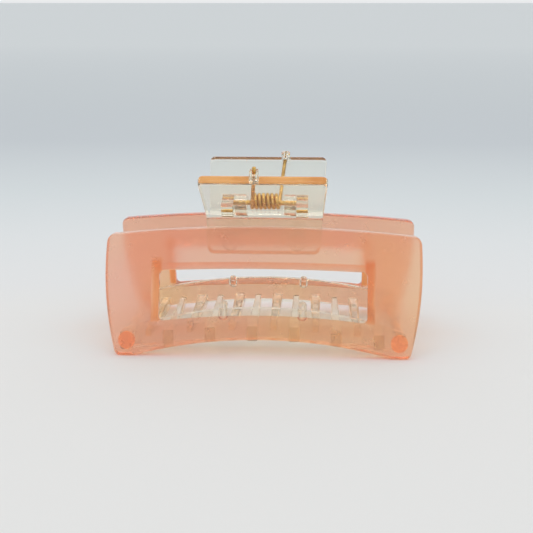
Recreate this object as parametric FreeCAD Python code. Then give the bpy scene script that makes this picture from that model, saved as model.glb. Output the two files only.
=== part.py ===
import FreeCAD, Part
import math
import os

# Rectangular claw clip, closed and standing on the lower corners of its two panels.
# +X runs along the clip, the front jaw is on the -Y side, +Z is up.
# The origin is at floor level, midway between the jaws.
# Each jaw is drawn once in its own place, "u" being the distance outwards from the mid plane.

# Panels
CLIP_LENGTH = 90.0
PANEL_HEIGHT = 34.8
PANEL_TOP_OUT = 11.4
PANEL_FOOT_OUT = 24.0
PANEL_BULGE = 0.9
PANEL_THICKNESS = 2.8
TOP_EDGE_RISE = 2.4
FOOT_ARCH_RISE = 4.6
FOOT_FLAT = 3.2
WIDEST_BELOW_TOP = 9.8
SIDE_EDGE_RADIUS = 92.0
TOP_CORNER_RADIUS = 2.4
FOOT_CORNER_RADIUS = 1.7
ARCH_BLEND_RADIUS = 9.0
PANEL_EDGE_ROUND = 0.7

# Window in each panel
SIDE_RAIL = 15.4
TOP_RAIL = 10.7
LOW_RAIL = 6.9
WINDOW_TOP_RISE = 0.7
WINDOW_SILL_RISE = 1.9
WINDOW_CORNER_RADIUS = 1.4
WINDOW_BEVEL_WIDTH = 2.1
WINDOW_BEVEL_DEPTH = 1.0

# Hinge
PIN_ABOVE_PANEL = 6.2
PIN_RADIUS = 0.7
PIN_END_BEVEL = 0.15
PIN_PRESS = 0.02
PIN_CLEARANCE = 0.06
KNUCKLE_RADIUS = 2.4
KNUCKLE_WIDTH = 3.4
KNUCKLE_GAP = 0.2
SPRING_BAY_GAP = 1.05

# Handles
HANDLE_WIDTH_TOP = 36.2
HANDLE_WIDTH_BASE = 33.4
HANDLE_THICKNESS = 2.8
HANDLE_LEAN = 46.0
HANDLE_REACH = 15.6
HANDLE_CORNER_RADIUS = 1.6
HANDLE_EDGE_ROUND = 0.8
HANDLE_RELIEF = 0.35
WAIST_RADIUS = 2.5
FLANGE_DEPTH = 8.2
FLANGE_CORNER_RADIUS = 2.0
RIB_DROP = 4.4
RIB_RISE = 2.6

# Spring
WIRE_RADIUS = 0.55
COIL_PIN_GAP = 0.15
COIL_TURN_GAP = 0.16
COIL_WHOLE_TURNS = 6
COIL_LIFT = 0.5
LEG_EASE = 0.01
WIRE_TIP = 1.2
WIRE_TIP_BEND = 45.0
LUG_WIDTH = 2.6
LUG_LENGTH = 2.6
LUG_PROUD = 0.45
LUG_HEIGHT = 2.0
LUG_ROUND = 0.4
LUG_HOLE_OFFSET = 0.85
LUG_HOLE_CLEARANCE = 0.08
FRONT_LUG_SHIFT = 1.4
BACK_LUG_SHIFT = 1.4

# Tooth bars
BAR_THICKNESS = 1.8
BAR_GLUE_GAP = 0.12
BAR_SIDE_INSET = 0.9
BAR_LOW_MARGIN = 0.9
BAR_ABOVE_SILL = 1.0
BAR_END_HEIGHT = 5.2
BAR_EDGE_ROUND = 0.4
PEG_RADIUS = 1.3
PEG_SPACING = 22.4
PEG_DEPTH = 0.4
FRONT_PEG_RISE = 3.0
BACK_PEG_RISE = 0.7
PEG_CLEARANCE = 0.1
TEETH_PER_JAW = 7
END_TOOTH_INSET = 6.0
TOOTH_WIDTH_ROOT = 3.2
TOOTH_WIDTH_TIP = 1.9
TOOTH_HEIGHT_ROOT = 3.8
TOOTH_HEIGHT_TIP = 2.0
TOOTH_ROOT_LOW = 1.6
TOOTH_TIP_LIFT = 1.9
TOOTH_TIP_GAP = 1.0
TOOTH_ROUND = 0.55

# Adhesive pads between the clear pieces and the panels
PAD_RADIUS = 2.4
PAD_POCKET = 0.3
PAD_POCKET_CLEARANCE = 0.08
FOOT_PAD_INSET = 6.3
FOOT_PAD_HEIGHT = 3.5
FLANGE_PAD_SPACING = 19.0
FLANGE_PAD_BELOW_TOP = 4.6

# Values worked out from the sizes above
PIN_HEIGHT = PANEL_HEIGHT + PIN_ABOVE_PANEL
WIDEST_HEIGHT = PANEL_HEIGHT - WIDEST_BELOW_TOP
WINDOW_TOP = PANEL_HEIGHT - TOP_RAIL
WINDOW_SILL = FOOT_ARCH_RISE + LOW_RAIL
WINDOW_MIDDLE = (WINDOW_TOP + WINDOW_SILL) / 2
WINDOW_HALF = CLIP_LENGTH / 2 - SIDE_RAIL
CLEAR_OFFSET = PANEL_THICKNESS + BAR_GLUE_GAP
COIL_RADIUS = PIN_RADIUS + COIL_LIFT + COIL_PIN_GAP + WIRE_RADIUS
COIL_PITCH = 2 * WIRE_RADIUS + COIL_TURN_GAP
TOOTH_STEP = (CLIP_LENGTH - 2 * END_TOOTH_INSET) / (2 * TEETH_PER_JAW - 1)
BEYOND = 10.0

# How far helping solids reach past what they meet, and how near counts as alike or as the same
SPARE = 1.0
ALIKE = 0.3
NEARLY = 0.03
SAME = 0.001
ALONG_EDGE = (0.1, 0.5, 0.9)

VECTOR = FreeCAD.Vector


def point(x, u, z):
    """A point of the front jaw: u is measured outwards, towards -Y."""
    return VECTOR(x, -u, z)


def panel_circle():
    """Centre (u, z) and radius of the arc that the panel's outer face follows."""
    run = PANEL_FOOT_OUT - PANEL_TOP_OUT
    chord = math.hypot(run, PANEL_HEIGHT)
    radius = (chord * chord / 4 + PANEL_BULGE * PANEL_BULGE) / (2 * PANEL_BULGE)
    normal_u = PANEL_HEIGHT / chord
    normal_z = run / chord
    back = radius - PANEL_BULGE
    centre_u = (PANEL_TOP_OUT + PANEL_FOOT_OUT) / 2 - normal_u * back
    centre_z = PANEL_HEIGHT / 2 - normal_z * back
    return centre_u, centre_z, radius


ARC_U, ARC_Z, ARC_RADIUS = panel_circle()


def surface_angle(depth, z):
    """Angle above the horizontal of the surface's outward normal at height z."""
    return math.asin((z - ARC_Z) / (ARC_RADIUS - depth))


def surface_out(depth, z):
    """How far out the surface that lies `depth` inside the panel's outer face is, at height z."""
    return ARC_U + (ARC_RADIUS - depth) * math.cos(surface_angle(depth, z))


def window_height():
    """The window's height along the panel's slope."""
    return (WINDOW_TOP - WINDOW_SILL) / math.cos(surface_angle(0, WINDOW_MIDDLE))


def face_of(edges):
    return Part.Face(Part.Wire(Part.__sortEdges__(edges)))


def arc(a, b, c):
    return Part.Arc(a, b, c).toShape()


def line(a, b):
    return Part.makeLine(a, b)


def band(depth_a, depth_b, low, high):
    """The curved layer between two depths inside the panel's outer face, over the clip's length."""
    middle = (low + high) / 2
    left = -CLIP_LENGTH / 2 - BEYOND
    corners = {}
    for depth in (depth_a, depth_b):
        for z in (low, middle, high):
            corners[depth, z] = point(left, surface_out(depth, z), z)
    edges = [
        arc(corners[depth_a, low], corners[depth_a, middle], corners[depth_a, high]),
        line(corners[depth_a, high], corners[depth_b, high]),
        arc(corners[depth_b, high], corners[depth_b, middle], corners[depth_b, low]),
        line(corners[depth_b, low], corners[depth_a, low]),
    ]
    return face_of(edges).extrude(VECTOR(-2 * left, 0, 0))


def prism(edges):
    """Solid seen from the front as the given outline, reaching through the front jaw."""
    return face_of(edges).extrude(VECTOR(0, -PANEL_FOOT_OUT - BEYOND, 0))


def upright_edges(shape, test):
    """Edges that run straight towards the viewer and whose place (x, z) passes the test."""
    found = []
    for edge in shape.Edges:
        a = edge.Vertexes[0].Point
        b = edge.Vertexes[-1].Point
        if abs(a.x - b.x) < SAME and abs(a.z - b.z) < SAME and test(a.x, a.z):
            found.append(edge)
    return found


def side_edge_x(z):
    """Half the panel's length at height z: its side edges are gentle arcs."""
    drop = z - WIDEST_HEIGHT
    return CLIP_LENGTH / 2 - SIDE_EDGE_RADIUS + math.sqrt(SIDE_EDGE_RADIUS ** 2 - drop ** 2)


def arch_height(x, rise, half):
    """Height above its ends of a circular arch of the given rise and half span."""
    radius = (half * half + rise * rise) / (2 * rise)
    return math.sqrt(radius * radius - x * x) - radius + rise


def foot_inner_x():
    return side_edge_x(0) - FOOT_CORNER_RADIUS - FOOT_FLAT


def panel_outline():
    top_corner = PANEL_HEIGHT - TOP_EDGE_RISE
    top_x = side_edge_x(top_corner)
    foot_x = side_edge_x(0)
    inner_x = foot_inner_x()
    mid_z = top_corner / 2
    edges = [
        arc(point(-top_x, 0, top_corner), point(0, 0, PANEL_HEIGHT), point(top_x, 0, top_corner)),
        line(point(foot_x, 0, 0), point(inner_x, 0, 0)),
        arc(point(inner_x, 0, 0), point(0, 0, FOOT_ARCH_RISE), point(-inner_x, 0, 0)),
        line(point(-inner_x, 0, 0), point(-foot_x, 0, 0)),
    ]
    for side in (-1, 1):
        low = point(side * foot_x, 0, 0)
        middle = point(side * side_edge_x(mid_z), 0, mid_z)
        high = point(side * top_x, 0, top_corner)
        edges.append(arc(low, middle, high))
    solid = prism(edges)
    solid = solid.makeFillet(TOP_CORNER_RADIUS, upright_edges(solid, lambda x, z: z > WIDEST_HEIGHT))
    outer = upright_edges(solid, lambda x, z: z < SAME and abs(x) > foot_x - SAME)
    solid = solid.makeFillet(FOOT_CORNER_RADIUS, outer)
    inner = upright_edges(solid, lambda x, z: z < SAME and abs(abs(x) - inner_x) < SAME)
    return solid.makeFillet(ARCH_BLEND_RADIUS, inner)


def window_place(x, up, out):
    """A point from the window's middle: `up` along the panel's slope, `out` from its outer face."""
    angle = surface_angle(0, WINDOW_MIDDLE)
    u = surface_out(0, WINDOW_MIDDLE) + out * math.cos(angle) - up * math.sin(angle)
    return point(x, u, WINDOW_MIDDLE + out * math.sin(angle) + up * math.cos(angle))


def window_wire(grow, out):
    """The window's outline, grown on every side, at a distance outside the panel's outer face."""
    half = WINDOW_HALF + grow
    top = window_height() / 2 + grow
    sill = -top
    ends = (-half, 0, half)
    upper = [window_place(x, top - abs(x) / half * WINDOW_TOP_RISE, out) for x in ends]
    lower = [window_place(x, sill - abs(x) / half * WINDOW_SILL_RISE, out) for x in ends]
    edges = [arc(*upper), arc(*lower), line(upper[0], lower[0]), line(upper[2], lower[2])]
    return Part.Wire(Part.__sortEdges__(edges))


def window_opening():
    through = window_place(0, 0, BEYOND) - window_place(0, 0, -BEYOND)
    solid = Part.Face(window_wire(0, -BEYOND)).extrude(through)
    walls = [e for e in solid.Edges if abs(e.Length - through.Length) < SAME]
    return solid.makeFillet(WINDOW_CORNER_RADIUS, walls)


def window_bevel():
    """Tapered tool that gives the opening its sloping border on the outer face."""
    slope = WINDOW_BEVEL_WIDTH / WINDOW_BEVEL_DEPTH
    over = WINDOW_BEVEL_DEPTH / 2
    inner = window_wire(-over * slope, -WINDOW_BEVEL_DEPTH - over)
    outer = window_wire(WINDOW_BEVEL_WIDTH + over * slope, over)
    solid = Part.makeLoft([inner, outer], True, True)
    slanted = [e for e in solid.Edges if WINDOW_BEVEL_DEPTH < e.Length < 4 * WINDOW_BEVEL_WIDTH]
    return solid.makeFillet(WINDOW_CORNER_RADIUS, slanted)


def sill_edge():
    """(u, z) of the window sill's inner edge at the middle of the clip's length."""
    place = window_place(0, -window_height() / 2, -PANEL_THICKNESS)
    return -place.y, place.z


def sill_height():
    """Height of the window sill's outer edge at the middle of the clip's length."""
    return window_place(0, -window_height() / 2, 0).z


def on_surface(edge, depth):
    """Whether an edge lies in the surface that is `depth` inside the panel's outer face."""
    for share in ALONG_EDGE:
        p = edge.valueAt(edge.FirstParameter + share * (edge.LastParameter - edge.FirstParameter))
        if abs(math.hypot(-p.y - ARC_U, p.z - ARC_Z) - (ARC_RADIUS - depth)) > SAME:
            return False
    return True


def peg_places():
    return (-PEG_SPACING / 2, PEG_SPACING / 2)


def peg(x, radius, low, high):
    """A round-ended peg on the sill's inner edge. It leans with the panel."""
    lean = surface_angle(0, WINDOW_MIDDLE)
    axis = VECTOR(0, math.sin(lean), math.cos(lean))
    foot = point(x, *sill_edge()) - axis * low
    body = Part.makeCylinder(radius, low + high, foot, axis)
    for end in (foot, foot + axis * (low + high)):
        body = body.fuse(Part.makeSphere(radius, end))
    return body.removeSplitter()


def make_panel(peg_rise):
    panel = band(0, PANEL_THICKNESS, 0, PANEL_HEIGHT + SPARE).common(panel_outline())
    rim = [e for e in panel.Edges if on_surface(e, 0) or on_surface(e, PANEL_THICKNESS)]
    panel = panel.makeFillet(PANEL_EDGE_ROUND, rim)
    panel = panel.cut(window_opening()).cut(window_bevel())
    for x in peg_places():
        panel = panel.cut(peg(x, PEG_RADIUS + PEG_CLEARANCE, PEG_DEPTH, peg_rise))
    return panel


def waist():
    """Start, turning centre and directions of the bend between the flange and the handle."""
    depth = CLEAR_OFFSET
    height = PANEL_HEIGHT + HANDLE_RELIEF
    angle = surface_angle(depth, height)
    start = (surface_out(depth, height), height)
    flange_normal = (math.cos(angle), math.sin(angle))
    lean = math.radians(HANDLE_LEAN)
    handle_normal = (math.cos(lean), -math.sin(lean))
    centre = (start[0] + flange_normal[0] * WAIST_RADIUS, start[1] + flange_normal[1] * WAIST_RADIUS)
    return centre, flange_normal, handle_normal


def along_handle(reach, depth):
    """(u, z) of a point of the handle: `reach` up it from the waist, `depth` inside its outer face."""
    centre, _, normal = waist()
    lean = math.radians(HANDLE_LEAN)
    inwards = WAIST_RADIUS + depth
    u = centre[0] - normal[0] * inwards + math.sin(lean) * reach
    z = centre[1] - normal[1] * inwards + math.cos(lean) * reach
    return u, z


def waist_arc(depth):
    """The three points (u, z) of the bend, `depth` inside the outer face."""
    centre, flange_normal, handle_normal = waist()
    inwards = WAIST_RADIUS + depth
    middle = (flange_normal[0] + handle_normal[0], flange_normal[1] + handle_normal[1])
    size = math.hypot(*middle)
    places = []
    for normal in (flange_normal, (middle[0] / size, middle[1] / size), handle_normal):
        places.append((centre[0] - normal[0] * inwards, centre[1] - normal[1] * inwards))
    return places


def at(x, place):
    return point(x, place[0], place[1])


def flange_arc(depth):
    """The three points (u, z) of the flange's face, from its foot up to the bend."""
    low = PANEL_HEIGHT - FLANGE_DEPTH
    top_u, top_z = waist_arc(depth - CLEAR_OFFSET)[0]
    middle = (low + top_z) / 2
    return (surface_out(depth, low), low), (surface_out(depth, middle), middle), (top_u, top_z)


def handle_profile():
    """Side view of the handle with its flange, at the mid plane of the clip's length."""
    x = -HANDLE_WIDTH_TOP
    edges = []
    for depth in (0, HANDLE_THICKNESS):
        flange = [at(x, p) for p in flange_arc(CLEAR_OFFSET + depth)]
        bend = [at(x, p) for p in waist_arc(depth)]
        edges.append(arc(*flange))
        edges.append(arc(*bend))
        edges.append(line(bend[2], at(x, along_handle(HANDLE_REACH, depth))))
    tip_outer = at(x, along_handle(HANDLE_REACH, 0))
    tip_inner = at(x, along_handle(HANDLE_REACH, HANDLE_THICKNESS))
    edges.append(line(tip_outer, tip_inner))
    foot_outer = at(x, flange_arc(CLEAR_OFFSET)[0])
    foot_inner = at(x, flange_arc(CLEAR_OFFSET + HANDLE_THICKNESS)[0])
    edges.append(line(foot_outer, foot_inner))
    return face_of(edges)


def handle_top():
    return along_handle(HANDLE_REACH, HANDLE_THICKNESS)[1]


def handle_outline():
    """Front view of the handle and its flange: both sides spread evenly towards the top."""
    low = PANEL_HEIGHT - FLANGE_DEPTH
    high = handle_top()
    spread = (HANDLE_WIDTH_TOP - HANDLE_WIDTH_BASE) / 2 / (high - PANEL_HEIGHT)
    half_low = HANDLE_WIDTH_BASE / 2 - spread * (PANEL_HEIGHT - low + SPARE)
    half_high = HANDLE_WIDTH_TOP / 2 + spread * SPARE
    below, above = low - SPARE, high + SPARE
    corners = [(-half_low, below), (half_low, below), (half_high, above), (-half_high, above)]
    points = [point(x, -BEYOND, z) for x, z in corners]
    outline = Part.makePolygon(points + points[:1])
    return Part.Face(outline).extrude(VECTOR(0, -PANEL_FOOT_OUT - 2 * BEYOND, 0))


def crosses_plate(edge):
    """True for a straight edge from the plate's outer face to its inner one, at the foot or the tip."""
    box = edge.BoundBox
    at_foot = box.XLength < SAME and box.ZLength < SAME
    at_tip = box.XLength < ALIKE and abs(edge.Length - HANDLE_THICKNESS) < NEARLY
    return at_foot or at_tip


def thickness_edges(shape, low, high):
    """Short straight edges that cross a plate's thickness between two heights."""
    return [e for e in shape.Edges if crosses_plate(e) and low < e.BoundBox.ZMin and e.BoundBox.ZMax < high]


def make_plate():
    plate = handle_profile().extrude(VECTOR(2 * HANDLE_WIDTH_TOP, 0, 0)).common(handle_outline())
    tip_low = along_handle(HANDLE_REACH, 0)[1] - SPARE / 2
    plate = plate.makeFillet(HANDLE_CORNER_RADIUS, thickness_edges(plate, tip_low, handle_top() + SPARE))
    flange_low = PANEL_HEIGHT - FLANGE_DEPTH - SPARE
    feet = thickness_edges(plate, flange_low, PANEL_HEIGHT - FLANGE_DEPTH / 2)
    plate = plate.makeFillet(FLANGE_CORNER_RADIUS, feet)
    rim = [e for e in plate.Edges if is_handle_rim(e)]
    return plate.makeFillet(HANDLE_EDGE_ROUND, rim)


def is_handle_rim(edge):
    """Edges round the plate's two faces, leaving out the level lines where the bend starts and ends."""
    box = edge.BoundBox
    level = box.ZLength < SAME
    inside = PANEL_HEIGHT - FLANGE_DEPTH + SPARE / 2 < box.ZMin < along_handle(HANDLE_REACH / 2, 0)[1]
    return not crosses_plate(edge) and not (level and inside)


def rib_profile(x):
    """Side view of the web that joins a knuckle to the handle's inner face."""
    buried = HANDLE_THICKNESS / 2
    low = PIN_HEIGHT - RIB_DROP
    low_u = surface_out(CLEAR_OFFSET + buried, low)
    bend_u, bend_z = waist_arc(buried)[2]
    high = along_handle(RIB_RISE, buried)
    corners = [(0, PIN_HEIGHT - KNUCKLE_RADIUS), (low_u, low), (bend_u, bend_z), high]
    corners.append((0, PIN_HEIGHT + KNUCKLE_RADIUS))
    points = [at(x, p) for p in corners]
    return Part.Face(Part.makePolygon(points + points[:1]))


def knuckle(x_low, x_high):
    """One knuckle with its web, still without the hole for the pin."""
    width = x_high - x_low
    web = rib_profile(x_low).extrude(VECTOR(width, 0, 0))
    barrel = Part.makeCylinder(KNUCKLE_RADIUS, width, VECTOR(x_low, 0, PIN_HEIGHT), VECTOR(1, 0, 0))
    return web.fuse(barrel)


def knuckle_ranges(is_front):
    """The knuckles' places along the pin: the back jaw's are inside the front jaw's."""
    start = coil_half_length() + WIRE_RADIUS + SPRING_BAY_GAP
    if is_front:
        start += KNUCKLE_WIDTH + KNUCKLE_GAP
    end = start + KNUCKLE_WIDTH
    return (-end, -start), (start, end)


def pin_hole(radius):
    length = pin_half_length() * 2 + BEYOND
    return Part.makeCylinder(radius, length, VECTOR(-length / 2, 0, PIN_HEIGHT), VECTOR(1, 0, 0))


def pin_half_length():
    return knuckle_ranges(True)[1][1]


def coil_height():
    return PIN_HEIGHT + COIL_LIFT


def lug_centre():
    """(u, z) where the spring's leg passes the middle of the lug on the handle's inner face."""
    return along_handle(HANDLE_REACH - LUG_LENGTH / 2, HANDLE_THICKNESS + LUG_HOLE_OFFSET)


def leg_line():
    """(u, z) where a leg leaves the coil, its direction, and its length up to the lug."""
    lug_u, lug_z = lug_centre()
    rise = lug_z - coil_height()
    distance = math.hypot(lug_u, rise)
    reach = math.sqrt(distance ** 2 - COIL_RADIUS ** 2)
    angle = math.atan2(rise, lug_u) + math.asin(COIL_RADIUS / distance)
    direction = (math.cos(angle), math.sin(angle))
    start = (lug_u - direction[0] * reach, lug_z - direction[1] * reach)
    return start, direction, reach


def coil_turn():
    """Radians that the wire turns between its two legs."""
    start, _, _ = leg_line()
    below = math.atan2(coil_height() - start[1], start[0])
    return 2 * math.pi * COIL_WHOLE_TURNS + math.pi - 2 * below


def coil_half_length():
    return COIL_PITCH * coil_turn() / (4 * math.pi)


def leg_path():
    """Points of the front leg: out of the coil, at the lug's end, and at the wire's bent tip."""
    start, direction, reach = leg_line()
    start_x = -coil_half_length()
    lug_x = start_x + FRONT_LUG_SHIFT
    share = (reach + LUG_LENGTH / 2 + LUG_PROUD + WIRE_RADIUS) / reach
    end_u = start[0] + direction[0] * reach * share
    end_z = start[1] + direction[1] * reach * share
    angle = math.atan2(direction[1], direction[0]) + math.radians(WIRE_TIP_BEND)
    tip_u = end_u + math.cos(angle) * WIRE_TIP
    tip_z = end_z + math.sin(angle) * WIRE_TIP
    end_x = start_x + (lug_x - start_x) * share
    return point(start_x, *start), point(end_x, end_u, end_z), point(end_x, tip_u, tip_z)


def back_leg_path():
    """The back leg mirrors the front one and ends inside its lug."""
    start, end, _ = leg_path()
    outwards = BACK_LUG_SHIFT / FRONT_LUG_SHIFT * (end.x - start.x)
    last_x = coil_half_length() + outwards
    return VECTOR(coil_half_length(), -start.y, start.z), VECTOR(last_x, -end.y, end.z)


def tube(a, b, radius):
    return Part.makeCylinder(radius, (b - a).Length, a, b - a)


def leg_pieces(points):
    """Round wire through the points, with a ball at each one. A hair thinner than the coil it joins."""
    radius = WIRE_RADIUS - LEG_EASE
    pieces = [Part.makeSphere(radius, p) for p in points]
    pieces += [tube(a, b, radius) for a, b in zip(points, points[1:])]
    return pieces


def make_coil():
    """The helix about the hinge, from the front leg's end to the back leg's."""
    half = coil_half_length()
    start, _, _ = leg_line()
    angle = math.atan2(start[1] - coil_height(), -start[0])
    helix = Part.makeHelix(COIL_PITCH, 2 * half, COIL_RADIUS)
    section = Part.Wire(Part.makeCircle(WIRE_RADIUS, VECTOR(COIL_RADIUS, 0, 0), helix_direction()))
    coil = Part.Wire(helix.Edges).makePipeShell([section], True, True)
    turn = FreeCAD.Matrix(0, 0, 1, -half, math.cos(angle), -math.sin(angle), 0, 0,
                          math.sin(angle), math.cos(angle), 0, coil_height())
    coil.Placement = FreeCAD.Placement(turn)
    return coil


def helix_direction():
    return VECTOR(0, 2 * math.pi * COIL_RADIUS, COIL_PITCH)


def make_spring():
    pieces = leg_pieces(leg_path()) + leg_pieces(back_leg_path())
    return make_coil().fuse(pieces).Solids[0]


def leg_for(is_front):
    """The leg's start and end in the front jaw's own place, before the back jaw is turned round."""
    if is_front:
        return leg_path()[:2]
    start, end = back_leg_path()
    return VECTOR(-start.x, -start.y, start.z), VECTOR(-end.x, -end.y, end.z)


def make_lug(is_front):
    """Block at the handle's top edge that the spring's leg passes through."""
    start, end = leg_for(is_front)
    x = end.x - (end.x - start.x) * (LUG_LENGTH / 2) / (end - start).Length
    low = HANDLE_REACH - LUG_LENGTH
    high = HANDLE_REACH + LUG_PROUD
    depth_in = HANDLE_THICKNESS + LUG_HEIGHT
    depth_out = HANDLE_EDGE_ROUND
    corners = [along_handle(low, depth_in), along_handle(high, depth_in)]
    corners += [along_handle(high, depth_out), along_handle(low, depth_out)]
    points = [at(x - LUG_WIDTH / 2, p) for p in corners]
    block = Part.Face(Part.makePolygon(points + points[:1])).extrude(VECTOR(LUG_WIDTH, 0, 0))
    block = block.makeFillet(LUG_ROUND, block.Edges)
    return block.cut(lug_hole(start, end))


def lug_hole(start, end):
    direction = (end - start).normalize()
    past = direction * 2 * SPARE
    return tube(end - direction * LUG_LENGTH - past, end + past, WIRE_RADIUS + LUG_HOLE_CLEARANCE)


def make_handle(is_front):
    handle = make_plate()
    for x_low, x_high in knuckle_ranges(is_front):
        handle = handle.fuse(knuckle(x_low, x_high))
    handle = handle.removeSplitter()
    handle = handle.fuse(make_lug(is_front))
    bore = PIN_RADIUS - PIN_PRESS if is_front else PIN_RADIUS + PIN_CLEARANCE
    handle = handle.cut(pin_hole(bore))
    for x in (-FLANGE_PAD_SPACING / 2, FLANGE_PAD_SPACING / 2):
        handle = handle.cut(pocket(x, PANEL_HEIGHT - FLANGE_PAD_BELOW_TOP))
    return handle


def make_pin():
    half = pin_half_length()
    pin = Part.makeCylinder(PIN_RADIUS, 2 * half, VECTOR(-half, 0, PIN_HEIGHT), VECTOR(1, 0, 0))
    boxes = [(e, e.BoundBox) for e in pin.Edges]
    ends = [e for e, box in boxes if abs(abs(box.XMin) - half) < SAME and box.XLength < SAME]
    return pin.makeChamfer(PIN_END_BEVEL, ends)


def round_pad(x, z, radius, depth_a, depth_b):
    """The part of a curved layer inside a circle seen from the front."""
    disc = Part.makeCylinder(radius, PANEL_FOOT_OUT + BEYOND, point(x, 0, z), VECTOR(0, -1, 0))
    return band(depth_a, depth_b, z - radius - SPARE, z + radius + SPARE).common(disc)


def pocket(x, z):
    radius = PAD_RADIUS + PAD_POCKET_CLEARANCE
    return round_pad(x, z, radius, CLEAR_OFFSET - SPARE / 2, CLEAR_OFFSET + PAD_POCKET)


def pad(x, z):
    return round_pad(x, z, PAD_RADIUS, PANEL_THICKNESS, CLEAR_OFFSET + PAD_POCKET)


def foot_pad_x():
    return CLIP_LENGTH / 2 - FOOT_PAD_INSET


def make_pads():
    pads = [pad(side * foot_pad_x(), FOOT_PAD_HEIGHT) for side in (-1, 1)]
    for side in (-1, 1):
        pads.append(pad(side * FLANGE_PAD_SPACING / 2, PANEL_HEIGHT - FLANGE_PAD_BELOW_TOP))
    return Part.makeCompound(pads)


def bar_half():
    return side_edge_x(0) - BAR_SIDE_INSET


def bar_top_at(x):
    """The bar's upper edge: over the window's sill at the middle, and a set height at the ends."""
    end = BAR_LOW_MARGIN + BAR_END_HEIGHT
    rise = sill_height() + BAR_ABOVE_SILL - end
    return end + arch_height(x, rise, bar_half())


def bar_low_at(x):
    """The bar's lower edge runs a little above the panel's arch, and above the feet at its ends."""
    return BAR_LOW_MARGIN + arch_height(x, FOOT_ARCH_RISE - TOOTH_ROOT_LOW, bar_half())


def bar_outline():
    half = bar_half()
    low = [point(x, 0, bar_low_at(x)) for x in (-half, 0, half)]
    high = [point(x, 0, bar_top_at(x)) for x in (-half, 0, half)]
    edges = [arc(*low), arc(*high), line(low[0], high[0]), line(low[2], high[2])]
    solid = prism(edges)
    return solid.makeFillet(FOOT_CORNER_RADIUS, upright_edges(solid, lambda x, z: True))


def tooth_places():
    """Places of the front jaw's teeth: the back jaw's fall midway between them."""
    first = -CLIP_LENGTH / 2 + END_TOOTH_INSET
    return [first + 2 * TOOTH_STEP * i for i in range(TEETH_PER_JAW)]


def tooth_root_u(z):
    return surface_out(CLEAR_OFFSET + BAR_THICKNESS, z)


def tooth_side(x):
    """Side view of one tooth: a curved finger from the bar across to the other jaw's bar."""
    low = bar_low_at(x) - TOOTH_ROOT_LOW / 3
    high = low + TOOTH_HEIGHT_ROOT
    root_u = tooth_root_u(low) + BAR_THICKNESS / 2
    top_u = tooth_root_u(high) + BAR_THICKNESS / 2
    tip_u = -tooth_root_u(high + TOOTH_TIP_LIFT) + TOOTH_TIP_GAP
    tip_low = low + TOOTH_TIP_LIFT
    tip_high = tip_low + TOOTH_HEIGHT_TIP
    sag = TOOTH_TIP_LIFT / 4
    middle_low = (low + tip_low) / 2 - sag
    middle_high = (high + tip_high) / 2 - sag
    edges = [
        arc(point(x, root_u, low), point(x, (root_u + tip_u) / 2, middle_low), point(x, tip_u, tip_low)),
        arc(point(x, top_u, high), point(x, (top_u + tip_u) / 2, middle_high), point(x, tip_u, tip_high)),
        line(point(x, root_u, low), point(x, top_u, high)),
        line(point(x, tip_u, tip_low), point(x, tip_u, tip_high)),
    ]
    return face_of(edges), root_u, tip_u


def make_tooth(x):
    side, root_u, tip_u = tooth_side(x)
    body = side.extrude(VECTOR(TOOTH_WIDTH_ROOT, 0, 0))
    body.translate(VECTOR(-TOOTH_WIDTH_ROOT / 2, 0, 0))
    half_root = TOOTH_WIDTH_ROOT / 2
    half_tip = TOOTH_WIDTH_TIP / 2
    corners = [(x - half_root, root_u), (x + half_root, root_u), (x + half_tip, tip_u), (x - half_tip, tip_u)]
    points = [point(a, u, -BEYOND) for a, u in corners]
    plan = Part.Face(Part.makePolygon(points + points[:1])).extrude(VECTOR(0, 0, PANEL_HEIGHT + BEYOND))
    tooth = body.common(plan)
    free = [e for e in tooth.Edges if e.BoundBox.YMax > -root_u + BAR_THICKNESS]
    return tooth.makeFillet(TOOTH_ROUND, free)


def make_tooth_bar(peg_rise):
    inner = CLEAR_OFFSET + BAR_THICKNESS
    bar = band(CLEAR_OFFSET, inner, 0, PANEL_HEIGHT).common(bar_outline())
    bar = bar.makeFillet(BAR_EDGE_ROUND, [e for e in bar.Edges if on_surface(e, inner)])
    for x in tooth_places():
        bar = bar.fuse(make_tooth(x))
    for x in peg_places():
        bar = bar.fuse(peg(x, PEG_RADIUS, PEG_DEPTH, peg_rise))
    bar = bar.removeSplitter()
    for side in (-1, 1):
        bar = bar.cut(pocket(side * foot_pad_x(), FOOT_PAD_HEIGHT))
    return bar


def to_back(shape):
    """The back jaw is the front one turned half way round about the upright axis."""
    turned = shape.copy()
    turned.rotate(VECTOR(0, 0, 0), VECTOR(0, 0, 1), 180)
    return turned


def save(shape, node):
    shape.exportStep(os.path.join("parts", node + ".step"))


def main():
    os.makedirs("parts", exist_ok=True)
    pads = make_pads()
    save(make_panel(FRONT_PEG_RISE), "front_panel")
    save(to_back(make_panel(BACK_PEG_RISE)), "back_panel")
    save(make_handle(True), "front_handle")
    save(to_back(make_handle(False)), "back_handle")
    save(make_tooth_bar(FRONT_PEG_RISE), "front_tooth_bar")
    save(to_back(make_tooth_bar(BACK_PEG_RISE)), "back_tooth_bar")
    save(pads, "front_adhesive_pads")
    save(to_back(pads), "back_adhesive_pads")
    save(make_pin(), "hinge_pin")
    save(make_spring(), "torsion_spring")


main()
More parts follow.
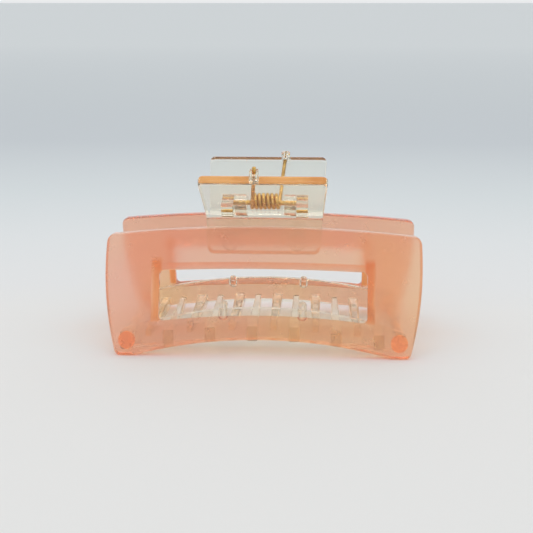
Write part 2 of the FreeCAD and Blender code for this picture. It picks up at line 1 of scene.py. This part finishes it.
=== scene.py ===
import bmesh
import bpy
import math
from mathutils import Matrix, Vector


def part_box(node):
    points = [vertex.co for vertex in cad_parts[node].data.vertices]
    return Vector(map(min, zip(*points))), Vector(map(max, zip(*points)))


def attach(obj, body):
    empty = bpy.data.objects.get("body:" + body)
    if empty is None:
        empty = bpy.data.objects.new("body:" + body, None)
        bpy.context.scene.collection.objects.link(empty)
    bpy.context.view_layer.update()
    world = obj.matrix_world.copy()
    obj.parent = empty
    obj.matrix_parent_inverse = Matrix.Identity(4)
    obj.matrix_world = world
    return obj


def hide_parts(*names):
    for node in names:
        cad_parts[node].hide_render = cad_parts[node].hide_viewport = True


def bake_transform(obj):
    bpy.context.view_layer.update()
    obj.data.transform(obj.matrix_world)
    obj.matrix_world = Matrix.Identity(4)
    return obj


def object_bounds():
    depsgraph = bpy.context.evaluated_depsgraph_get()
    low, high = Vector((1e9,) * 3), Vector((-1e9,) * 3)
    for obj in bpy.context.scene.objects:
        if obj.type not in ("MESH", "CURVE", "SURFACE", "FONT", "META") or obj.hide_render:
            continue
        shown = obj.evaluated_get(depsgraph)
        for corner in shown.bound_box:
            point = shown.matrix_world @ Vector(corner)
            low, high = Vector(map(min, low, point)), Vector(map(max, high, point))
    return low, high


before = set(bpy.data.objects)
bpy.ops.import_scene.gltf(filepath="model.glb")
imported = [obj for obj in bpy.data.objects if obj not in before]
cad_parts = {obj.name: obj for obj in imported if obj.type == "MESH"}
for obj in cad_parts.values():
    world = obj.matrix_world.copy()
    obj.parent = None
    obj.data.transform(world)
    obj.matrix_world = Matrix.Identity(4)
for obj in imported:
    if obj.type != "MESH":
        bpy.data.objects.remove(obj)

MM = 0.001
CAD_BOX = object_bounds()
FRONT, BACK = "front_jaw", "back_jaw"


# ---------------------------------------------------------------- node trees

def new_tree(name):
    """An empty material, its node tree and its output node."""
    material = bpy.data.materials.new(name)
    material.use_nodes = True
    tree = material.node_tree
    tree.nodes.clear()
    return material, tree, tree.nodes.new("ShaderNodeOutputMaterial")


def add(tree, kind, inputs=None, **settings):
    """One node; inputs maps socket names or numbers to a value or to another node's output."""
    node = tree.nodes.new("ShaderNode" + kind)
    for key, value in settings.items():
        setattr(node, key, value)
    for key, value in (inputs or {}).items():
        if isinstance(value, bpy.types.NodeSocket):
            tree.links.new(value, node.inputs[key])
        else:
            node.inputs[key].default_value = value
    return node


def ramp(tree, factor, stops):
    """A colour ramp over factor; stops are (position, colour) pairs in rising order."""
    node = add(tree, "ValToRGB", {"Fac": factor})
    elements = node.color_ramp.elements
    while len(elements) < len(stops):
        elements.new(1.0)
    for element, (position, colour) in zip(elements, stops):
        element.position = position
        element.color = (*colour, 1.0)
    return node.outputs["Color"]


def spread(tree, value, low, high, to_low=0.0, to_high=1.0):
    """value between low and high, spread over to_low to to_high and held at the ends."""
    node = add(tree, "MapRange", {
        "Value": value, "From Min": low, "From Max": high, "To Min": to_low, "To Max": to_high,
    })
    return node.outputs["Result"]


def place_of(tree):
    """Each point's place in the row frame, in metres."""
    return add(tree, "TexCoord").outputs["Object"]


def noise(tree, place, per_metre, detail=3.0, stretch=(1.0, 1.0, 1.0)):
    """Smooth noise with features about 1/per_metre across."""
    scaled = add(tree, "Mapping", {"Vector": place, "Scale": stretch})
    node = add(tree, "TexNoise", {
        "Vector": scaled.outputs["Vector"], "Scale": per_metre, "Detail": detail, "Roughness": 0.55,
    })
    return node.outputs["Fac"]


def maths(tree, operation, first, second=0.0):
    return add(tree, "Math", {0: first, 1: second}, operation=operation).outputs["Value"]


def mixed(tree, share, first, second):
    """share of the second shader and the rest of the first; all are output sockets or a number."""
    return add(tree, "MixShader", {0: share, 1: first, 2: second}).outputs["Shader"]


def mix_colour(tree, factor, first, second):
    node = tree.nodes.new("ShaderNodeMix")
    node.data_type = "RGBA"
    colour_inputs = [s for s in node.inputs if s.type == "RGBA"]
    sockets = (node.inputs[0], colour_inputs[0], colour_inputs[1])
    for socket, value in zip(sockets, (factor, first, second)):
        if isinstance(value, bpy.types.NodeSocket):
            tree.links.new(value, socket)
        else:
            socket.default_value = value
    return [s for s in node.outputs if s.type == "RGBA"][0]


def rgb(red, green, blue):
    return (red, green, blue, 1.0)


def bumped(tree, height, distance, strength):
    node = add(tree, "Bump", {"Height": height, "Distance": distance, "Strength": strength})
    return node.outputs["Normal"]


# ---------------------------------------------------------------- plastics

ACRYLIC_IOR = 1.47
TINTED_MILK, CLEAR_MILK = 0.16, 0.04


def finish_plastic(tree, output, surface, shadow_colour, absorbed, density):
    """Closes a see-through plastic: light from the lamps passes through it tinted."""
    lamps = add(tree, "BsdfTransparent", {"Color": shadow_colour}).outputs["BSDF"]
    to_lamp = add(tree, "LightPath").outputs["Is Shadow Ray"]
    tree.links.new(mixed(tree, to_lamp, surface, lamps), output.inputs["Surface"])
    volume = add(tree, "VolumeAbsorption", {"Color": absorbed, "Density": density})
    tree.links.new(volume.outputs["Volume"], output.inputs["Volume"])


def moulding_marks(tree, place):
    """Faint flow waves and fine specks of a moulded surface, as a height from 0 to 1."""
    flow = noise(tree, place, 90.0, detail=2.0, stretch=(0.6, 1.0, 1.6))
    fine = noise(tree, place, 900.0, detail=2.0)
    return maths(tree, "ADD", maths(tree, "MULTIPLY", flow, 0.9), maths(tree, "MULTIPLY", fine, 0.1))


WINDOW_MIDDLE = 17.6 * MM
BORDER_INNER = (28.6 * MM, 29.4 * MM)
BORDER_OUTER = (31.4 * MM, 31.9 * MM)
BORDER_TOP = (7.9 * MM, 8.5 * MM)


def side_border_shade(tree, place):
    """1 on the sloping borders at the two short sides of a panel's window, 0 elsewhere: the mask for a
    painted shade of deeper orange there.
    """
    axes = add(tree, "SeparateXYZ", {"Vector": place})
    along = maths(tree, "ABSOLUTE", axes.outputs["X"])
    up = maths(tree, "ABSOLUTE", maths(tree, "SUBTRACT", axes.outputs["Z"], WINDOW_MIDDLE))
    outside = spread(tree, along, *BORDER_OUTER, 1.0, 0.0)
    inside = spread(tree, along, *BORDER_INNER)
    level = spread(tree, up, *BORDER_TOP, 1.0, 0.0)
    return maths(tree, "MULTIPLY", maths(tree, "MULTIPLY", outside, inside), level)


def tinted_plastic():
    """Peach see-through plastic with a soft drift from pink to yellow, a slight milkiness, a faint
    painted glow and painted shade on the window's side borders.
    """
    material, tree, output = new_tree("tinted_plastic")
    place = place_of(tree)
    drift = noise(tree, place, 26.0, detail=2.0, stretch=(1.0, 1.0, 0.7))
    face_tint = ramp(tree, drift, [
        (0.30, (0.99, 0.76, 0.72)),
        (0.50, (1.00, 0.84, 0.74)),
        (0.68, (1.00, 0.93, 0.70)),
    ])
    # Painted shade: the window's side borders get a deeper orange than the rest of the panel, where
    # the sloping plastic looks darker.
    tint = mix_colour(tree, side_border_shade(tree, place), face_tint, rgb(0.98, 0.52, 0.22))
    marks = bumped(tree, moulding_marks(tree, place), 0.00012, 0.35)
    roughness = spread(tree, noise(tree, place, 240.0), 0.35, 0.7, 0.20, 0.28)
    # Painted glow: the faint orange emission brightens the plastic beyond what the lamps give it.
    clear = add(tree, "BsdfPrincipled", {
        "Base Color": tint, "Roughness": roughness, "IOR": ACRYLIC_IOR, "Specular IOR Level": 0.3,
        "Transmission Weight": 1.0, "Normal": marks, "Coat Weight": 0.8, "Coat Roughness": 0.04,
        "Emission Color": rgb(1.0, 0.40, 0.16), "Emission Strength": 0.025,
    })
    cloud_colour = mix_colour(tree, 0.5, tint, rgb(1.0, 0.52, 0.36))
    thrown_back = add(tree, "BsdfDiffuse", {"Color": cloud_colour}).outputs["BSDF"]
    let_through = add(tree, "BsdfTranslucent", {"Color": cloud_colour}).outputs["BSDF"]
    cloudy = mixed(tree, 0.5, thrown_back, let_through)
    surface = mixed(tree, TINTED_MILK, clear.outputs["BSDF"], cloudy)
    finish_plastic(tree, output, surface, rgb(0.95, 0.74, 0.48), rgb(0.99, 0.55, 0.18), 190.0)
    return material


HANDLE_LEAN = math.radians(46.0)
LIP_DEPTH = (2.6 * MM, 2.2 * MM)
LUG_HALF = (1.25 * MM, 1.45 * MM)
END_FACING = (0.5, 0.75)
LIP_GLOW_SHARE = 0.95


def lip_glow_mask(tree, place, side, lug_x):
    """1 on the end face of a handle's lip, where the painted orange glow goes, and 0 elsewhere and on
    its lug.
    """
    lip_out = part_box("back_handle")[1].y
    axes = add(tree, "SeparateXYZ", {"Vector": place})
    outwards = maths(tree, "MULTIPLY", axes.outputs["Y"], float(side))
    near_end = spread(tree, outwards, lip_out - LIP_DEPTH[0], lip_out - LIP_DEPTH[1])
    beside = maths(tree, "ABSOLUTE", maths(tree, "SUBTRACT", axes.outputs["X"], lug_x))
    off_lug = spread(tree, beside, *LUG_HALF)
    along = (0.0, side * math.sin(HANDLE_LEAN), math.cos(HANDLE_LEAN))
    normal = add(tree, "TexCoord").outputs["Normal"]
    facing = add(tree, "VectorMath", {0: normal, 1: along}, operation="DOT_PRODUCT")
    on_end = spread(tree, maths(tree, "ABSOLUTE", facing.outputs["Value"]), *END_FACING)
    return maths(tree, "MULTIPLY", maths(tree, "MULTIPLY", near_end, off_lug), on_end)


def clear_plastic(name="clear_plastic", side=0, lug_x=0.0):
    """Water-clear plastic with a straw tint. side: -1 or 1 for a handle whose lip end face gets a
    painted orange glow, 0 for none.
    """
    material, tree, output = new_tree(name)
    place = place_of(tree)
    drift = noise(tree, place, 60.0)
    tint = ramp(tree, drift, [(0.35, (0.99, 0.985, 0.95)), (0.65, (1.0, 0.99, 0.93))])
    marks = bumped(tree, moulding_marks(tree, place), 0.00012, 0.3)
    roughness = spread(tree, noise(tree, place, 260.0), 0.35, 0.7, 0.02, 0.07)
    clear = add(tree, "BsdfPrincipled", {
        "Base Color": tint, "Roughness": roughness, "IOR": ACRYLIC_IOR,
        "Transmission Weight": 1.0, "Normal": marks,
    })
    milk = add(tree, "BsdfDiffuse", {"Color": tint})
    surface = mixed(tree, CLEAR_MILK, clear.outputs["BSDF"], milk.outputs["BSDF"])
    if side:
        # Painted glow: the orange on the lip's end face stands for light carried in from the tinted
        # panels through the clear plastic.
        streaks = noise(tree, place, 300.0, stretch=(0.4, 1.0, 1.0))
        lip_glow_colour = ramp(tree, streaks, [(0.35, (0.70, 0.27, 0.05)), (0.65, (0.82, 0.38, 0.10))])
        lip_glow = add(tree, "BsdfPrincipled", {
            "Base Color": lip_glow_colour, "Roughness": 0.12, "IOR": ACRYLIC_IOR, "Coat Weight": 0.6,
            "Coat Roughness": 0.03,
        })
        share = maths(tree, "MULTIPLY", lip_glow_mask(tree, place, side, lug_x), LIP_GLOW_SHARE)
        surface = mixed(tree, share, surface, lip_glow.outputs["BSDF"])
    finish_plastic(tree, output, surface, rgb(0.97, 0.96, 0.92), rgb(0.93, 0.90, 0.62), 30.0)
    return material


FOOT_GLUE_TOP, UPPER_GLUE_LOW = 12 * MM, 17 * MM


def adhesive():
    """Glue dots: cloudy amber and uneven at the feet with a faint painted orange glow, clear and
    smooth behind the top rails.
    """
    material, tree, output = new_tree("adhesive")
    place = place_of(tree)
    blotches = noise(tree, place, 420.0, detail=4.0)
    amber = ramp(tree, blotches, [(0.35, (1.0, 0.62, 0.30)), (0.65, (1.0, 0.74, 0.38))])
    marks = bumped(tree, blotches, 0.0003, 0.6)
    # Painted glow: the orange emission brightens the glue at the feet.
    cloudy = add(tree, "BsdfPrincipled", {
        "Base Color": amber, "Roughness": spread(tree, blotches, 0.3, 0.7, 0.15, 0.4), "IOR": 1.45,
        "Transmission Weight": 0.5, "Normal": marks,
        "Emission Color": rgb(1.0, 0.42, 0.12), "Emission Strength": 0.12,
    })
    clear = add(tree, "BsdfPrincipled", {
        "Base Color": rgb(1.0, 0.98, 0.95), "Roughness": 0.03, "IOR": ACRYLIC_IOR,
        "Transmission Weight": 1.0,
    })
    height = add(tree, "SeparateXYZ", {"Vector": place}).outputs["Z"]
    upper = spread(tree, height, FOOT_GLUE_TOP, UPPER_GLUE_LOW)
    surface = mixed(tree, upper, cloudy.outputs["BSDF"], clear.outputs["BSDF"])
    finish_plastic(tree, output, surface, rgb(0.95, 0.80, 0.60), rgb(0.98, 0.90, 0.75), 20.0)
    return material


def gold_metal():
    """Drawn brass wire: fine lengthwise scratches, small dull patches and a bright polish."""
    material, tree, output = new_tree("gold_metal")
    place = place_of(tree)
    patches = noise(tree, place, 500.0, detail=4.0)
    colour = ramp(tree, patches, [
        (0.30, (0.50, 0.27, 0.07)),
        (0.55, (0.78, 0.49, 0.15)),
        (0.75, (0.90, 0.63, 0.25)),
    ])
    scratches = noise(tree, place, 2600.0, detail=2.0, stretch=(1.0, 0.25, 0.25))
    metal = add(tree, "BsdfPrincipled", {
        "Base Color": colour, "Metallic": 1.0,
        "Roughness": spread(tree, patches, 0.3, 0.75, 0.34, 0.2),
        "Normal": bumped(tree, scratches, 0.00002, 0.5),
    })
    tree.links.new(metal.outputs["BSDF"], output.inputs["Surface"])
    return material


def paint_nodes():
    """Gives every CAD piece its material, and returns the metal for the spring's own meshes."""
    tinted, clear, glue, gold = tinted_plastic(), clear_plastic(), adhesive(), gold_metal()
    front_lug_x, back_lug_x = LEG_SPREAD - COIL_HALF, LEG_SPREAD + COIL_HALF
    finishes = {
        "front_panel": tinted, "back_panel": tinted,
        "front_tooth_bar": clear, "back_tooth_bar": clear,
        "front_handle": clear_plastic("clear_front_handle", -1, front_lug_x),
        "back_handle": clear_plastic("clear_back_handle", 1, back_lug_x),
        "front_adhesive_pads": glue, "back_adhesive_pads": glue,
        "hinge_pin": gold,
    }
    for name, material in finishes.items():
        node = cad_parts[name]
        for slot in node.material_slots:
            slot.material = material
    return gold


# ---------------------------------------------------------------- torsion spring

WIRE_RADIUS = 0.55 * MM
COIL_RADIUS = 1.9 * MM
COIL_LIFT = 0.5 * MM
COIL_HALF = 3.903 * MM
COIL_TURNS = 6.1951
COIL_START = math.radians(234.89)
COIL_CENTRE = (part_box("hinge_pin")[0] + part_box("hinge_pin")[1]) / 2 + Vector((0.0, 0.0, COIL_LIFT))
STEPS_PER_TURN = 28
RING_SIDES = 14
BEVEL_LENGTH, BEVEL_WIDTH = 0.25, 0.72
LEG_SPREAD = 1.574 * MM
LEG_END_OUT = 18.132 * MM
LEG_END_BELOW_TOP = 1.726 * MM
TIP_LEAN = 0.21 * MM
TIP_EASE = 0.45 * MM


def coil_point(share):
    """A point on the coil's middle line, share running from 0 at its first end to 1 at its last."""
    angle = COIL_START + share * COIL_TURNS * math.tau
    ring = Vector((0.0, math.cos(angle), math.sin(angle))) * COIL_RADIUS
    return COIL_CENTRE + ring + Vector((COIL_HALF * (2 * share - 1), 0, 0))


def tube_mesh(name, points, radius):
    """A round wire along points, its rings carried forward without twist and its ends bevelled."""
    mesh = bmesh.new()
    rings = []
    normal = None
    last = len(points) - 1
    for number, point in enumerate(points):
        along = (points[min(number + 1, last)] - points[max(number - 1, 0)]).normalized()
        if normal is None:
            normal = along.orthogonal()
        normal = (normal - along * normal.dot(along)).normalized()
        side = along.cross(normal)
        turns = [math.tau * k / RING_SIDES for k in range(RING_SIDES)]
        rings.append([
            mesh.verts.new(point + (normal * math.cos(t) + side * math.sin(t)) * radius) for t in turns
        ])
    for first, second in zip(rings, rings[1:]):
        for k in range(RING_SIDES):
            n = (k + 1) % RING_SIDES
            mesh.faces.new((first[k], first[n], second[n], second[k]))
    close_end(mesh, rings[0], points[0] - points[1], radius)
    close_end(mesh, rings[-1], points[-1] - points[-2], radius)
    bmesh.ops.recalc_face_normals(mesh, faces=mesh.faces)
    for face in mesh.faces:
        face.smooth = True
    data = bpy.data.meshes.new(name)
    mesh.to_mesh(data)
    mesh.free()
    piece = bpy.data.objects.new(name, data)
    bpy.context.scene.collection.objects.link(piece)
    return piece


def close_end(mesh, ring, outwards, radius):
    """A cut wire end: a small bevel ring and a flat face inside it."""
    middle = sum((v.co for v in ring), Vector()) / len(ring)
    shift = outwards.normalized() * radius * BEVEL_LENGTH
    inner = [mesh.verts.new(middle + (v.co - middle) * BEVEL_WIDTH + shift) for v in ring]
    for k in range(RING_SIDES):
        n = (k + 1) % RING_SIDES
        mesh.faces.new((ring[k], ring[n], inner[n], inner[k]))
    mesh.faces.new(inner)


def rounded_path(corners, reach, steps=6):
    """corners joined by straight runs, each inner corner eased over reach on both sides."""
    points = [corners[0]]
    for before, corner, after in zip(corners, corners[1:], corners[2:]):
        start = corner + (before - corner).normalized() * reach
        end = corner + (after - corner).normalized() * reach
        for k in range(steps + 1):
            t = k / steps
            points.append(start * (1 - t) ** 2 + corner * 2 * t * (1 - t) + end * t ** 2)
    points.append(corners[-1])
    return points


def last_steps(share):
    """The coil's own path up to one of its ends, so that a leg starts inside the coil."""
    step = 1 / (STEPS_PER_TURN * COIL_TURNS)
    return [coil_point(abs(share - step * k)) for k in (3, 2, 1)]


def leg_end(root, side):
    """Middle of the wire where a leg leaves its lug; side is -1 in front and 1 behind."""
    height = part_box("torsion_spring")[1].z - LEG_END_BELOW_TOP
    return Vector((root.x + LEG_SPREAD, side * LEG_END_OUT, height))


def front_leg_points():
    """From the coil's first turn along the tangent through the lug, to the tip that is bent up."""
    root = coil_point(0.0)
    bend = leg_end(root, -1)
    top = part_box("torsion_spring")[1].z - WIRE_RADIUS
    tip = Vector((bend.x, bend.y - TIP_LEAN, top))
    return last_steps(0.0) + rounded_path([root, bend, tip], TIP_EASE)


def back_leg_points():
    """From the coil's last turn along the tangent through the other lug, where it is cut off."""
    root = coil_point(1.0)
    return last_steps(1.0) + [root, leg_end(root, 1)]


def make_spring(gold):
    count = round(STEPS_PER_TURN * COIL_TURNS)
    coil = tube_mesh("spring_coil", [coil_point(k / count) for k in range(count + 1)], WIRE_RADIUS)
    front_leg = tube_mesh("spring_leg_front", front_leg_points(), WIRE_RADIUS)
    back_leg = tube_mesh("spring_leg_back", back_leg_points(), WIRE_RADIUS)
    for piece in (coil, front_leg, back_leg):
        piece.data.materials.append(gold)
    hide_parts("torsion_spring")
    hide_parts("torsion_spring")
    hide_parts("torsion_spring")
    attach(front_leg, FRONT)
    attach(back_leg, BACK)
    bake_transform(coil)


# ---------------------------------------------------------------- stage, light and camera

FLOOR_HALF = 60.0
FLOOR_BELOW = 0.02 * MM
GRADIENT_START, GRADIENT_END = 0.02, 2.02


def floor_material():
    """Pale paper with painted light and shade: warm under the part and, as painted shade, a little
    cooler and darker away behind it.
    """
    material, tree, output = new_tree("paper")
    place = place_of(tree)
    axes = add(tree, "SeparateXYZ", {"Vector": place})
    depth = spread(tree, axes.outputs["Y"], GRADIENT_START, GRADIENT_END)
    # Painted light and shade: this ramp paints the lamps' fall-off over the paper, not a colour of the
    # paper.
    colour = ramp(tree, depth, [
        (0.0, (0.800, 0.800, 0.790)),
        (0.015, (0.785, 0.795, 0.800)),
        (0.05, (0.760, 0.785, 0.795)),
        (0.10, (0.700, 0.745, 0.760)),
        (0.20, (0.620, 0.660, 0.690)),
        (0.40, (0.660, 0.700, 0.720)),
        (1.0, (0.740, 0.775, 0.785)),
    ])
    grain = noise(tree, place, 1500.0)
    shade = mix_colour(tree, spread(tree, grain, 0.3, 0.7, 0.0, 0.02), colour, rgb(0.55, 0.55, 0.55))
    paper = add(tree, "BsdfPrincipled", {
        "Base Color": shade, "Roughness": 0.8, "Specular IOR Level": 0.2,
    })
    tree.links.new(paper.outputs["BSDF"], output.inputs["Surface"])
    return material


def make_floor():
    mesh = bpy.data.meshes.new("floor")
    corners = [(x, y, 0.0) for x, y in ((-1, -1), (1, -1), (1, 1), (-1, 1))]
    mesh.from_pydata([(x * FLOOR_HALF, y * FLOOR_HALF, z) for x, y, z in corners], [], [(0, 1, 2, 3)])
    floor = bpy.data.objects.new("floor", mesh)
    floor.location.z = CAD_BOX[0].z - FLOOR_BELOW
    mesh.materials.append(floor_material())
    bpy.context.scene.collection.objects.link(floor)


STRIP_SIZE = (0.55, 0.012)
STRIP_POWER = 0.22
STRIP_COLOUR = (1.0, 0.97, 0.92)
WORLD_COLOUR, WORLD_STRENGTH = (0.97, 0.985, 1.0, 1.0), 0.84


def strip_light(name, place, aim):
    data = bpy.data.lights.new(name, "AREA")
    data.shape = "RECTANGLE"
    data.size, data.size_y = STRIP_SIZE
    data.energy = STRIP_POWER
    data.color = STRIP_COLOUR
    light = bpy.data.objects.new(name, data)
    light.location = place
    light.rotation_euler = (Vector(aim) - Vector(place)).to_track_quat("-Z", "Y").to_euler()
    bpy.context.scene.collection.objects.link(light)


def make_light():
    world = bpy.data.worlds.new("studio")
    bpy.context.scene.world = world
    world.use_nodes = True
    background = world.node_tree.nodes["Background"]
    background.inputs["Color"].default_value = WORLD_COLOUR
    background.inputs["Strength"].default_value = WORLD_STRENGTH
    middle = (CAD_BOX[0] + CAD_BOX[1]) / 2
    strip_light("strip_front", (0.0, -0.18, 0.42), middle)
    strip_light("strip_back", (0.0, 0.16, 0.45), middle)


CAMERA_PLACE = Vector((14.02, -288.78, 96.94)) * MM
CAMERA_DOWN, CAMERA_LEFT = 0.2592, 0.0477
CAMERA_LENS, SENSOR_WIDTH = 67.54, 36.0


def make_camera():
    data = bpy.data.cameras.new("camera")
    data.sensor_width, data.lens = SENSOR_WIDTH, CAMERA_LENS
    data.clip_start = 0.01
    camera = bpy.data.objects.new("camera", data)
    camera.location = CAMERA_PLACE
    camera.rotation_euler = (math.pi / 2 - CAMERA_DOWN, 0.0, CAMERA_LEFT)
    bpy.context.scene.collection.objects.link(camera)
    bpy.context.scene.camera = camera


LIGHT_PATH_BOUNCES = 32


def let_light_through():
    """Stacked clear pieces need more bounces than Blender's usual twelve, or they turn black."""
    cycles = bpy.context.scene.cycles
    cycles.max_bounces = LIGHT_PATH_BOUNCES
    cycles.glossy_bounces = LIGHT_PATH_BOUNCES
    cycles.transmission_bounces = LIGHT_PATH_BOUNCES
    cycles.transparent_max_bounces = LIGHT_PATH_BOUNCES


def main():
    bpy.context.scene.view_settings.view_transform = "Standard"
    let_light_through()
    gold = paint_nodes()
    make_spring(gold)
    make_floor()
    make_light()
    make_camera()


main()
